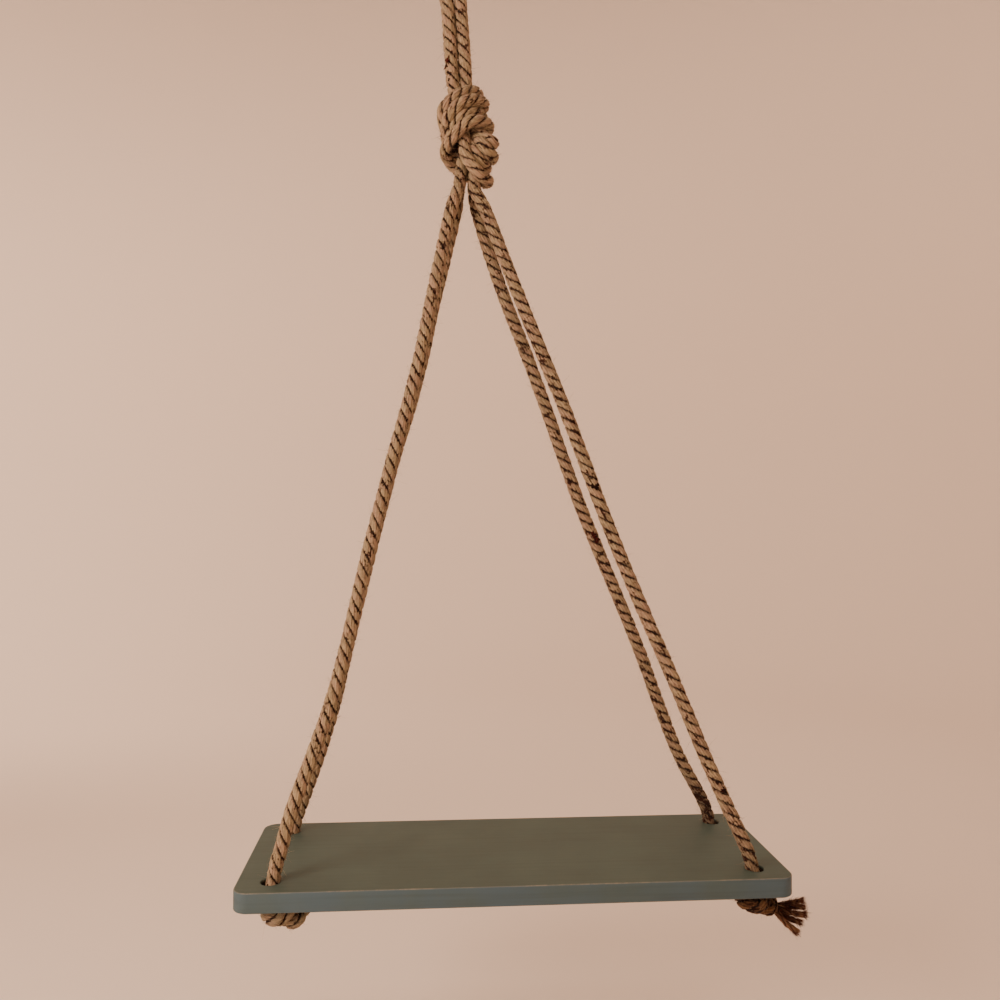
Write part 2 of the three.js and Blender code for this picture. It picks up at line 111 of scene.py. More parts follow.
# Each leg from its hole up to the large knot.
LEGS = {
    "front_left": [
        (-0.2192, -0.0648, -0.018), (-0.2187, -0.0647, -0.009), (-0.2179, -0.0644, 0),
        (-0.2158, -0.0637, 0.012), (-0.211, -0.0623, 0.030), (-0.2014, -0.059, 0.065),
        (-0.1855, -0.055, 0.108), (-0.1705, -0.051, 0.152), (-0.1585, -0.047, 0.197),
        (-0.1485, -0.043, 0.242), (-0.1385, -0.039, 0.288), (-0.127, -0.035, 0.334), (-0.1155, -0.031, 0.381),
        (-0.1025, -0.0268, 0.429), (-0.091, -0.0225, 0.478), (-0.0815, -0.018, 0.527),
        (-0.0715, -0.0135, 0.577), (-0.0608, -0.0093, 0.627),
    ],
    "back_left": [
        (-0.2192, 0.0648, -0.018), (-0.2187, 0.0646, -0.009), (-0.2179, 0.0642, 0), (-0.2152, 0.0635, 0.012),
        (-0.209, 0.062, 0.030), (-0.192, 0.058, 0.079), (-0.1765, 0.0533, 0.131), (-0.165, 0.0487, 0.182),
        (-0.153, 0.044, 0.234), (-0.141, 0.0396, 0.285), (-0.1285, 0.035, 0.335), (-0.1155, 0.0306, 0.386),
        (-0.1005, 0.026, 0.436), (-0.088, 0.0216, 0.486), (-0.078, 0.0172, 0.535), (-0.0665, 0.0129, 0.584),
        (-0.056, 0.0089, 0.631),
    ],
    "back_right": [
        (0.2192, 0.0648, -0.018), (0.2187, 0.0646, -0.009), (0.2179, 0.0642, 0), (0.2152, 0.0636, 0.012),
        (0.2085, 0.0624, 0.027), (0.183, 0.0578, 0.073), (0.1605, 0.0524, 0.127), (0.140, 0.047, 0.180),
        (0.1175, 0.0419, 0.233), (0.0945, 0.0367, 0.285), (0.0725, 0.0316, 0.336), (0.053, 0.0266, 0.387),
        (0.0345, 0.0216, 0.437), (0.015, 0.0168, 0.487), (-0.005, 0.0126, 0.535), (-0.023, 0.0102, 0.585),
        (-0.036, 0.0088, 0.628),
    ],
    "front_right": [
        (0.2192, -0.0648, -0.018), (0.2187, -0.0647, -0.009), (0.2179, -0.0644, 0), (0.2151, -0.0637, 0.012),
        (0.2085, -0.0624, 0.028), (0.1955, -0.0594, 0.057), (0.176, -0.055, 0.102), (0.1575, -0.0503, 0.148),
        (0.1385, -0.0457, 0.194), (0.1185, -0.041, 0.241), (0.0995, -0.0364, 0.288), (0.0815, -0.0317, 0.335),
        (0.0645, -0.027, 0.383), (0.0465, -0.0222, 0.432), (0.027, -0.0174, 0.481), (0.0075, -0.0138, 0.530),
        (-0.012, -0.011, 0.580), (-0.029, -0.009, 0.624),
    ],
}

# The hanging loop above the knot: height, lean to the side, half the distance between its sides.
LOOP = [
    (0.794, -0.0576, 0.00645), (0.828, -0.0602, 0.0065), (0.842, -0.0612, 0.0082), (0.855, -0.0622, 0.012),
    (0.868, -0.0632, 0.0165), (0.878, -0.064, 0.019), (0.886, -0.0646, 0.020),
]
LOOP_TURNS = (30, 60, 90, 120, 150)
LOOP_Y = 0.00645

# A stopper knot from its hole down to the rope's end: along the board's width, away from the room and up.
STOPPER = [
    (0, 0, -0.006), (0.0022, 0, -0.011), (0.006, -0.0025, -0.0158), (0.0115, -0.006, -0.017),
    (0.0165, -0.002, -0.0155), (0.0165, 0.006, -0.012), (0.0105, 0.0115, -0.0082), (0.002, 0.013, -0.007),
    (-0.007, 0.0095, -0.008), (-0.0108, 0, -0.010), (-0.0075, -0.009, -0.0115), (0, -0.013, -0.0115),
    (0.0065, -0.0095, -0.0085), (0.0095, -0.001, -0.0085),
]

# At each corner, how far the knot is shifted along and away, and the last places of its rope's end.
ENDS = {
    "front_left": (0.008, 0.004, [(0.012, 0.007, -0.0145), (0.016, 0.014, -0.017), (0.019, 0.022, -0.0175)]),
    "back_left": (0.002, 0, [(0.012, 0.007, -0.0145), (0.016, 0.014, -0.0175), (0.017, 0.022, -0.0185)]),
    "back_right": (-0.002, 0, [(0.012, 0.007, -0.0145), (0.015, 0.014, -0.0175), (0.015, 0.023, -0.018)]),
    "front_right": (-0.0015, 0, [(0.0125, 0.005, -0.015), (0.017, 0.006, -0.019), (0.0225, 0.0035, -0.0205)]),
}

# The two ropes: the corner where each starts, the corner where it ends, its loop, and the side it hangs on.
ROPES = [
    ("back_right", "back_left", "loop_front", -LOOP_Y),
    ("front_right", "front_left", "loop_back", LOOP_Y),
]

# The yarns of the frayed end: how far each reaches along the board, rises and goes back, its thickness, and
# how pale it is.
FRAYED_YARNS = [
    (0.024, 0.007, -0.003, 0.0042, 0.0), (0.028, -0.0015, 0.003, 0.0048, 0.02),
    (0.026, -0.005, -0.005, 0.0050, 0.04), (0.0245, -0.015, 0.002, 0.0046, 0.01),
    (0.019, -0.0215, -0.003, 0.0056, 0.16), (0.015, -0.013, 0.007, 0.0044, 0),
]

# Bits of bark and dark tufts in the ropes: which rope, how far along it, how far to the right of its middle
# as seen from the front, its height, its width, and whether it is red.
BARK = [
    (0, 1.2620, -0.0050, 0.0110, 0.0062, True), (0, 1.2463, -0.0046, 0.0030, 0.0026, False),
    (0, 0.7899, -0.0025, 0.0026, 0.0026, False), (1, 2.1075, 0.0050, 0.0040, 0.0030, False),
    (1, 0.5388, 0.0000, 0.0075, 0.0060, False), (1, 0.5366, 0.0020, 0.0066, 0.0060, False),
    (1, 0.5560, -0.0066, 0.0040, 0.0013, False), (0, 0.4960, 0.0010, 0.0100, 0.0040, True),
    (0, 0.4906, 0.0022, 0.0090, 0.0064, True), (1, 0.2301, 0.0026, 0.0090, 0.0050, True),
    (1, 2.3252, 0.0030, 0.0030, 0.0024, True), (0, 2.3549, 0.0022, 0.0026, 0.0020, False),
]

# How much darker each rope is at the right, as painted shade where the light falls off and under the board:
# in its stopper knot, all along its leg and just above the board.
PAINTED_SHADE_RIGHT = {"back_right": (0.10, 0.06, 0.24), "front_right": (0.11, 0.055, 0.12)}

# Painted shade in the darkest hollow of the large knot, under the turn in front: its middle and its radius.
SHADED_POCKET_AT, SHADED_POCKET_RADIUS = BOARD_AT + (-0.0555, -0.003, 0.685), 0.0080

CURVE_STEPS = 24
YARNS = 8
CORNERS_A_YARN = 3
KNOT_CUTS = ("start_knot", "end_knot")
KNOT_SQUEEZE = 0.96
HAIR_THICKNESS, HAIR_RINGS = 0.00023, 5
CUT_FIBRES = 170


# Sizes and colours that a user would change.


def size_property(name, description, default):
    return bpy.props.FloatProperty(name=name, description=description, default=default, unit="LENGTH")


def colour_property(name, description, default):
    return bpy.props.FloatVectorProperty(
        name=name, description=description, default=default, subtype="COLOR", size=3)


class RopeSettings(bpy.types.PropertyGroup):
    diameter: size_property("Diameter", "The rope's width over its strands", 0.012)
    lay: size_property("Lay", "The length in which a strand goes once round the rope", 0.034)
    yarn_lay: size_property("Yarn lay", "The length in which a yarn goes once round its strand", 0.023)
    step: size_property("Step", "The distance between the rings of the mesh", 0.0017)
    hairs: bpy.props.IntProperty(
        name="Hairs", description="Loose fibres on each metre of rope", default=2500)
    hair_length: size_property("Hair length", "Of the longest loose fibres", 0.009)
    light: colour_property("Fibre", "The colour of the outer fibres", (0.350, 0.272, 0.170))
    warm: colour_property("Warm fibre", "The colour of the redder fibres", (0.380, 0.255, 0.180))
    # Painted shade: the colour put in the hollows between the strands.
    dark: colour_property("Hollows", "The colour between the strands", (0.024, 0.006, 0.004))
    bark: colour_property("Bark", "The colour of the bits of bark left in the jute", (0.010, 0.004, 0.003))
    red: colour_property("Red tufts", "The colour of the dark red tufts", (0.032, 0.005, 0.004))


class BoardSettings(bpy.types.PropertyGroup):
    width: size_property("Width", "From end to end", 0.5)
    depth: size_property("Depth", "From front to back", 0.18)
    thickness: size_property("Thickness", "Of the board", 0.018)
    corner: size_property("Corner radius", "Of the board's outline", 0.014)
    eased: size_property("Eased edge", "How far the edges are rounded", 0.0012)
    hole: size_property("Hole radius", "Of the four holes for the ropes", 0.0085)
    hole_from_side: size_property("Hole from side", "From the board's end to a hole's middle", 0.03)
    hole_from_front: size_property("Hole from front", "From the board's edge to a hole's middle", 0.025)
    paint: colour_property("Paint", "The colour of the paint on top and below", (0.052, 0.078, 0.066))
    # Paint with painted light: the edges are coloured bluer and lighter than the top, for the cooler light
    # that falls on them.
    edge_paint_and_painted_light: colour_property("Edge paint", "The colour of the paint on the edges", (0.064, 0.110, 0.145))
    wood: colour_property("Bare wood", "The colour where the paint is rubbed off", (0.56, 0.43, 0.31))


class StageSettings(bpy.types.PropertyGroup):
    lens: bpy.props.FloatProperty(name="Lens", description="In millimetres on a 36 mm frame", default=32.94)
    floor: colour_property("Floor", "The colour of the floor", (0.86, 0.74, 0.65))
    light: colour_property("Light", "The colour of the lamps", (1.0, 0.77, 0.60))
    floor_z: size_property("Floor height", "Of the floor under the shelf", -1.12)


class ShelfSettings(bpy.types.PropertyGroup):
    rope: bpy.props.PointerProperty(type=RopeSettings)
    board: bpy.props.PointerProperty(type=BoardSettings)
    stage: bpy.props.PointerProperty(type=StageSettings)


# Shader nodes.


class Value:
    """A socket that varies over a surface. Python's operators on a number add its Math nodes."""

    def __init__(self, tree, socket):
        self.tree = tree
        self.socket = socket

    def maths(self, operation, *items, clamp=False):
        node = self.tree.nodes.new("ShaderNodeMath")
        node.operation = operation
        node.use_clamp = clamp
        for socket, item in zip(node.inputs, items):
            plug(self.tree, item, socket)
        return Value(self.tree, node.outputs[0])

    def __add__(self, other):
        return self.maths("ADD", self, other)

    def __radd__(self, other):
        return self.maths("ADD", other, self)

    def __sub__(self, other):
        return self.maths("SUBTRACT", self, other)

    def __rsub__(self, other):
        return self.maths("SUBTRACT", other, self)

    def __mul__(self, other):
        return self.maths("MULTIPLY", self, other)

    def __rmul__(self, other):
        return self.maths("MULTIPLY", other, self)

    def __pow__(self, other):
        return self.maths("POWER", self, other)

    def __abs__(self):
        return self.maths("ABSOLUTE", self)

    def least(self, other):
        return self.maths("MINIMUM", self, other)

    def most(self, other):
        return self.maths("MAXIMUM", self, other)

    def clamped(self):
        return self.maths("ADD", self, 0.0, clamp=True)


def plug(tree, item, socket):
    """Links a value or socket to a node's input, or sets it to a number or colour."""
    if isinstance(item, Value):
        item = item.socket
    if isinstance(item, bpy.types.NodeSocket):
        tree.links.new(item, socket)
    elif socket.type == "RGBA" and len(item) == 3:
        socket.default_value = (*item, 1.0)
    else:
        socket.default_value = item


class Finish:
    """A material of named parts: each method adds nodes to it and returns what they give."""

    def __init__(self, name):
        self.material = bpy.data.materials.new(name)
        self.material.use_nodes = True
        self.tree = self.material.node_tree
        self.tree.nodes.clear()

    def add(self, kind, settings, values, out=0):
        """One node: its type, its settings, then the values or links of its sockets."""
        node = self.tree.nodes.new("ShaderNode" + kind)
        for name, value in settings.items():
            setattr(node, name, value)
        for name, value in values.items():
            plug(self.tree, value, node.inputs[name])
        return None if out is None else Value(self.tree, node.outputs[out])

    def mixed(self, factor, first, second):
        """A colour between two others."""
        values = {0: factor, 6: first, 7: second}
        return self.add("Mix", {"data_type": "RGBA", "clamp_factor": True}, values, out=2)

    def scaled(self, vector, amounts):
        return self.add("VectorMath", {"operation": "MULTIPLY"}, {0: vector, 1: amounts})

    def noise(self, vector, scale, detail, roughness):
        values = {"Vector": vector, "Scale": scale, "Detail": detail, "Roughness": roughness}
        return self.add("TexNoise", {}, values)

    def ramp(self, value, low, high):
        """A value that rises smoothly from 0 at low to 1 at high."""
        return self.add("MapRange", {"interpolation_type": "SMOOTHSTEP"},
                        {"Value": value, "From Min": low, "From Max": high})

    def bump(self, height, distance, strength):
        return self.add("Bump", {}, {"Height": height, "Distance": distance, "Strength": strength})

    def finish(self, constants, **varying):
        """The surface itself: what is the same all over it, and what varies over it."""
        named = {name.replace("_", " "): value for name, value in varying.items()}
        shader = self.add("BsdfPrincipled", {}, {**constants, **named})
        self.add("OutputMaterial", {}, {"Surface": shader}, out=None)
        return self.material


def times(colour, amount):
    return tuple(c * amount for c in colour)


def jute_finish(settings, name, depth=(1.0, 1.0, 1.0)):
    """Fibres that run along each yarn, mottled olive and pink, with painted shade in dark red-brown hollows.
    """
    jute = Finish(name)
    straight = jute.add("Attribute", {"attribute_name": "straight"}, {}, out=1)
    crest = jute.add("Attribute", {"attribute_name": "crest"}, {}, out=2)
    fine = jute.noise(jute.scaled(straight, (1.0, 1.0, 0.06)), 2600.0, 2.0, 0.65)
    coarse = jute.noise(jute.scaled(straight, (1.0, 1.0, 0.18)), 760.0, 3.0, 0.6)
    mottle = jute.noise(jute.scaled(straight, (1.0, 1.0, 0.5)), 230.0, 3.0, 0.6)
    broken = jute.noise(straight, 170.0, 2.0, 0.5)
    patches = jute.noise(straight, 75.0, 3.0, 0.55)
    # The depth scales every colour, for darker copies of this jute that stand for painted shade.
    light, warm, dark = (tuple(c * d for c, d in zip(colour, depth))
                         for colour in (settings.light, settings.warm, settings.dark))
    colour = jute.mixed(jute.ramp(patches, 0.42, 0.58), light, warm)
    colour = jute.mixed(jute.ramp(mottle, 0.46, 0.62) * 0.55, colour, times(light, 0.42))
    colour = jute.mixed(jute.ramp(coarse, 0.50, 0.64) * 0.60, colour, times(warm, 0.26))
    colour = jute.mixed(jute.ramp(fine, 0.50, 0.64) * 0.50, colour, times(light, 1.9))
    # Painted shade: where the crest value is low, in the grooves between yarns and strands and wherever it is
    # lowered, the colour darkens to brown and then near black.
    shallow_shade = 1 - jute.ramp(crest + 0.40 * (mottle - 0.5), 0.78, 0.96)
    colour = jute.mixed(shallow_shade * 0.80, colour, times(warm, 0.34))
    hollow_shade = 1 - jute.ramp(crest + 1.3 * (broken - 0.5), 0.66, 0.86)
    colour = jute.mixed(hollow_shade * 0.97, colour, dark)
    height = fine * 0.6 + coarse * 1.0
    return jute.finish(
        {"Roughness": 0.94, "Specular IOR Level": 0.16, "Sheen Weight": 0.06, "Sheen Roughness": 0.5},
        Base_Color=colour, Normal=jute.bump(height, 0.0006, 1.0))


def fibre_finish(name, pale, deep):
    """Loose fibres, each a little different from the next."""
    fibre = Finish(name)
    tone = fibre.add("Attribute", {"attribute_name": "crest"}, {}, out=2)
    place = fibre.add("Attribute", {"attribute_name": "straight"}, {}, out=1)
    speckle = fibre.noise(place, 900.0, 2.0, 0.6)
    colour = fibre.mixed(fibre.ramp(0.75 * tone + 0.5 * (speckle - 0.25), 0.1, 0.9), deep, pale)
    return fibre.finish({"Roughness": 0.92, "Specular IOR Level": 0.12}, Base_Color=colour)


def paint_finish(settings, middle):
    """Matt paint brushed along the board, rubbed through to the wood along its edges, with painted light on
    its edge faces and painted shade inside its holes.
    """
    paint = Finish("grey_green_paint")
    place = paint.add("TexCoord", {}, {}, out=3)
    place = paint.add("VectorMath", {"operation": "SUBTRACT"}, {0: place, 1: middle})
    x, y, z = (paint.add("SeparateXYZ", {}, {0: place}, out=axis) for axis in range(3))
    half = (settings.width / 2, settings.depth / 2, settings.thickness / 2)
    corner = settings.corner

    # How far inside the outline and the faces a place lies.
    out_x = (abs(x) - (half[0] - corner)).most(0.0)
    out_y = (abs(y) - (half[1] - corner)).most(0.0)
    straight_side = (half[0] - abs(x)).least(half[1] - abs(y))
    round_side = corner - (out_x * out_x + out_y * out_y) ** 0.5
    in_plan = straight_side.least(round_side)
    in_height = half[2] - abs(z)
    from_edge = in_plan.most(in_height)
    hole_x = abs(x) - (half[0] - settings.hole_from_side)
    hole_y = abs(y) - (half[1] - settings.hole_from_front)
    from_hole = (hole_x * hole_x + hole_y * hole_y) ** 0.5 - settings.hole

    grain_place = paint.scaled(place, (0.05, 1.0, 1.0))
    grain = paint.noise(grain_place, 900.0, 3.0, 0.6)
    brush = paint.noise(paint.scaled(place, (0.022, 1.0, 1.0)), 240.0, 2.0, 0.5)
    cloud = paint.noise(place, 14.0, 3.0, 0.55)
    speck = paint.noise(place, 900.0, 2.0, 0.6)
    ragged = paint.noise(place, 170.0, 4.0, 0.65)
    long_wear = paint.noise(place, 26.0, 2.0, 0.5)

    front_edge = paint.ramp(y, 0.0, -0.06)
    top_edge = paint.ramp(z, 0.0, 0.004)
    rubbed = 0.13 + 0.22 * (paint.ramp(ragged, 0.36, 0.64) * paint.ramp(long_wear, 0.34, 0.62))
    rubbed = rubbed * (0.30 + 0.70 * (front_edge * top_edge).most(0.3 * top_edge))
    worn = rubbed * (1 - paint.ramp(from_edge, 0.0004, 0.0013))
    nicks = paint.ramp(speck, 0.71, 0.76) * (1 - paint.ramp(from_edge, 0.0006, 0.0030))
    rubbed_rim = 1 - paint.ramp(abs(from_hole), 0.0, 0.0006 + 0.0010 * ragged)
    hole_rub = rubbed_rim * paint.ramp(ragged, 0.50, 0.62)
    bare = worn.most(nicks * 0.18).most(hole_rub * 0.35).clamped()

    # Painted light: the edge faces take the bluer, lighter edge colour, and the top and bottom take the
    # paint's own.
    flat = paint.ramp(in_plan - in_height, -0.0006, 0.0006)
    coat = paint.mixed(flat, settings.edge_paint_and_painted_light, settings.paint)
    coat = paint.mixed(paint.ramp(cloud, 0.35, 0.70) * 0.45, coat, times(settings.paint, 1.35))
    coat = paint.mixed(paint.ramp(brush, 0.40, 0.75) * 0.25, coat, times(settings.paint, 0.72))
    coat = paint.mixed(paint.ramp(grain, 0.58, 0.80) * 0.18, coat, times(settings.paint, 0.60))
    wood = paint.mixed(paint.ramp(grain, 0.35, 0.7), times(settings.wood, 0.62), settings.wood)
    colour = paint.mixed(bare, coat, wood)
    # Painted shade: the walls of the holes are coloured near black.
    shade_in_hole = (1 - paint.ramp(from_hole, 0.0, 0.0005)) * paint.ramp(in_height, 0.0006, 0.0030)
    colour = paint.mixed(shade_in_hole, colour, (0.012, 0.008, 0.006))
    height = grain * 0.4 + brush * 0.4 + 0.5 * (1 - bare) + 0.12 * speck
    roughness = 0.55 + 0.10 * grain + 0.25 * bare
    return paint.finish(
        {"Specular IOR Level": 0.35},
        Base_Color=colour, Roughness=roughness, Normal=paint.bump(height, 0.00018, 0.6))


# The ropes' lines.


def centripetal(points, steps):
    """A smooth line through points, with even steps in each span, as three.js draws it."""
    ends = 2 * points[0] - points[1], 2 * points[-1] - points[-2]
    padded = np.vstack([ends[0], points, ends[1]])
    gaps = np.sqrt(np.linalg.norm(np.diff(padded, axis=0), axis=1))
    places = []
    for i in range(len(points) - 1):
        x0, x1, x2, x3 = padded[i:i + 4]
        g0, g1, g2 = gaps[i:i + 3]
        t1 = ((x1 - x0) / g0 - (x2 - x0) / (g0 + g1) + (x2 - x1) / g1) * g1
        t2 = ((x2 - x1) / g1 - (x3 - x1) / (g1 + g2) + (x3 - x2) / g2) * g1
        t = (np.arange(steps) / steps)[:, None]
        cubic = x1 + t1 * t + (-3 * x1 + 3 * x2 - 2 * t1 - t2) * t ** 2 + (2 * x1 - 2 * x2 + t1 + t2) * t ** 3
        places.append(cubic)
    return np.vstack([*places, points[-1:]])


def unit(vectors):
    return vectors / np.linalg.norm(vectors, axis=-1, keepdims=True)


class RopeLine:
    """The middle line of a whole rope, and where its lengths are cut."""

    def __init__(self, start, end, loop, loop_y, seed):
        self.start, self.end, self.loop, self.seed = start, end, loop, seed
        lengths = {
            "start_stopper": stopper_points(start),
            "start_leg": np.array(LEGS[start], float),
            "start_knot": knot_points(RUNS[start])[::-1],
            "loop": loop_points(loop_y),
            "end_knot": knot_points(RUNS[end]),
            "end_leg": np.array(LEGS[end], float)[::-1],
            "end_stopper": stopper_points(end)[::-1],
        }
        self.places = centripetal(np.vstack(list(lengths.values())), CURVE_STEPS) + BOARD_AT
        steps = np.linalg.norm(np.diff(self.places, axis=0), axis=1)
        self.along = np.concatenate([[0.0], np.cumsum(steps)])
        self.ahead = self.ways_ahead()
        self.side = self.carried_sides()
        first, last, count = {}, {}, 0
        for name, points in lengths.items():
            first[name] = self.along[count * CURVE_STEPS]
            count += len(points)
            last[name] = self.along[(count - 1) * CURVE_STEPS]
        self.cuts = {
            "start_stopper": (0.0, first["start_leg"]),
            "start_leg": (first["start_leg"], first["start_knot"]),
            "start_knot": (first["start_knot"], last["start_knot"]),
            "loop": (last["start_knot"], first["end_knot"]),
            "end_knot": (first["end_knot"], last["end_knot"]),
            "end_leg": (last["end_knot"], last["end_leg"]),
            "end_stopper": (last["end_leg"], last["end_stopper"]),
        }

    def legs_and_loop(self):
        """The name and the cut of each length between its knots."""
        return (f"leg_{self.start}", "start_leg"), (self.loop, "loop"), (f"leg_{self.end}", "end_leg")

    def stoppers(self):
        """The corner and the cut of each of its stopper knots."""
        return (self.start, "start_stopper"), (self.end, "end_stopper")

    def ways_ahead(self):
        before = np.vstack([self.places[:1], self.places[:-1]])
        after = np.vstack([self.places[1:], self.places[-1:]])
        return unit(after - before)

    def carried_sides(self):
        side = np.array((0.0, -1.0, 0.0))
        sides = []
        for ahead in self.ahead:
            side = side - side.dot(ahead) * ahead
            side = side / np.linalg.norm(side)
            sides.append(side)
        return np.array(sides)

    def stations(self, distances):
        """Place, way ahead, side and other side at distances along the line."""
        def at(values):
            return np.stack([np.interp(distances, self.along, values[:, i]) for i in range(3)], axis=1)
        ahead = unit(at(self.ahead))
        side = at(self.side)
        side = unit(side - np.sum(side * ahead, axis=1, keepdims=True) * ahead)
        return at(self.places), ahead, side, np.cross(ahead, side)


def knot_points(run):
    """One run's places in the bundle, from the hanging loops down to the legs."""
    rows = np.array(KNOT_BUNDLE)
    middle = rows[:, :3]
    ahead = unit(np.vstack([middle[1:], middle[-1:]]) - np.vstack([middle[:1], middle[:-1]]))
    turn = np.radians(rows[:, 3])
    across = np.stack([np.cos(turn), np.zeros(len(rows)), np.sin(turn)], axis=1)
    across = unit(across - np.sum(across * ahead, axis=1, keepdims=True) * ahead)
    through = np.cross(ahead, across)
    pitch, drawn = rows[:, 4:5], rows[:, 5:6]
    (flat_across, flat_through), (pair_across, pair_through) = run
    return (middle + across * pitch * (flat_across + (pair_across - flat_across) * drawn)
            + through * pitch * (flat_through + (pair_through - flat_through) * drawn))


def loop_points(y):
    """A loop from its left foot over the hook to its right foot."""
    left = [(lean - half, y, z) for z, lean, half in LOOP]
    right = [(lean + half, y, z) for z, lean, half in LOOP]
    shoulder_z, shoulder_lean, shoulder_half = LOOP[-1]
    top_z = HOOK_Z + SOLID_RADIUS
    over = []
    for degrees in LOOP_TURNS:
        turn = math.radians(degrees)
        lean = shoulder_lean + (HOOK_X - shoulder_lean) * math.sin(turn)
        height = shoulder_z + (top_z - shoulder_z) * math.sin(turn)
        over.append((lean - shoulder_half * math.cos(turn), y, height))
    return np.array(left + over + right[::-1])


def stopper_points(corner):
    """A rope's stopper knot and cut end, from the cut end up to the hole."""
    side = -1 if corner.endswith("left") else 1
    end = -1 if corner.startswith("front") else 1
    shift, away, tail = ENDS[corner]
    places = [(side * HOLE_X + u + (shift if i else 0),
               end * HOLE_Y + v + (away if i else 0),
               w - BOARD_THICKNESS) for i, (u, v, w) in enumerate(STOPPER + tail)]
    return np.array(places[::-1])


# Meshes.


class MeshParts:
    """Corners and faces gathered from several closed tubes, with what the material reads at each corner."""

    def __init__(self):
        self.corners, self.faces, self.straight, self.crest = [], [], [], []
        self.count = 0

    def add_tubes(self, rings, straight, crest):
        """Open tubes, all alike: an array of tubes by rings by corners by 3."""
        index = self.count + np.arange(crest.size).reshape(crest.shape)
        a, d = index[:, :-1], index[:, 1:]
        b, c = np.roll(a, -1, axis=2), np.roll(d, -1, axis=2)
        self.faces.append(np.stack([a, b, c, d], axis=-1).reshape(-1, 4))
        self.corners.append(rings.reshape(-1, 3))
        self.straight.append(straight.reshape(-1, 3))
        self.crest.append(crest.reshape(-1))
        self.count += crest.size
        return index

    def add_tube(self, rings, straight, crest):
        """A closed tube between rings of corners: an array of rings by corners by 3."""
        index = self.add_tubes(rings[None], straight[None], crest[None])[0]
        self.add_cap(rings[0], index[0][::-1], straight[0], crest[0])
        self.add_cap(rings[-1], index[-1], straight[-1], crest[-1])

    def add_cap(self, ring, index, straight, crest):
        middle = self.count
        self.corners.append(ring.mean(axis=0)[None])
        self.straight.append(straight.mean(axis=0)[None])
        self.crest.append(np.array([crest.max()]))
        self.count += 1
        following = np.roll(index, -1)
        middles, none = np.full(len(index), middle), np.full(len(index), -1)
        self.faces.append(np.stack([index, following, middles, none], axis=-1))

    def to_object(self, name, material):
        faces = np.vstack(self.faces)
        loops = np.where(faces[:, 3] < 0, 3, 4)
        mesh = bpy.data.meshes.new(name)
        mesh.vertices.add(self.count)
        mesh.vertices.foreach_set("co", np.vstack(self.corners).ravel())
        flat = faces.ravel()
        flat = flat[flat >= 0]
        mesh.loops.add(len(flat))
        mesh.loops.foreach_set("vertex_index", flat)
        mesh.polygons.add(len(faces))
        mesh.polygons.foreach_set("loop_start", np.concatenate([[0], np.cumsum(loops)[:-1]]))
        mesh.update(calc_edges=True)
        mesh.validate()
        mesh.shade_smooth()
        mesh.attributes.new("straight", "FLOAT_VECTOR", "POINT").data.foreach_set(
            "vector", np.vstack(self.straight).astype(np.float32).ravel())
        mesh.attributes.new("crest", "FLOAT", "POINT").data.foreach_set(
            "value", np.concatenate(self.crest).astype(np.float32))
        mesh.materials.append(material)
        piece = bpy.data.objects.new(name, mesh)
        bpy.context.scene.collection.objects.link(piece)
        return piece


def uneven(distance, seed, length=0.021):
    """A slow, seeded swell along a rope, about -1 to 1."""
    draw = np.random.default_rng(seed)
    waves = [np.sin(distance * (2 * np.pi / (length * draw.uniform(0.5, 2.4))) + draw.uniform(0, 2 * np.pi))
             for _ in range(4)]
    return sum(waves) / 2.6


def strand_outline(angle, radius, offset):
    """How far a pressed strand reaches from its middle, out to the rope's round and to its neighbours."""
    rounding = 2.4
    to_round = -offset * np.cos(angle) + np.sqrt(radius ** 2 - (offset * np.sin(angle)) ** 2)
    apart = offset * math.sin(math.pi / 3)
    sum_of = to_round ** -rounding
    for side in (-1, 1):
        facing = np.maximum(np.cos(angle - side * math.radians(150)), 0.02)
        sum_of = sum_of + (apart / facing) ** -rounding
    return sum_of ** (-1 / rounding)


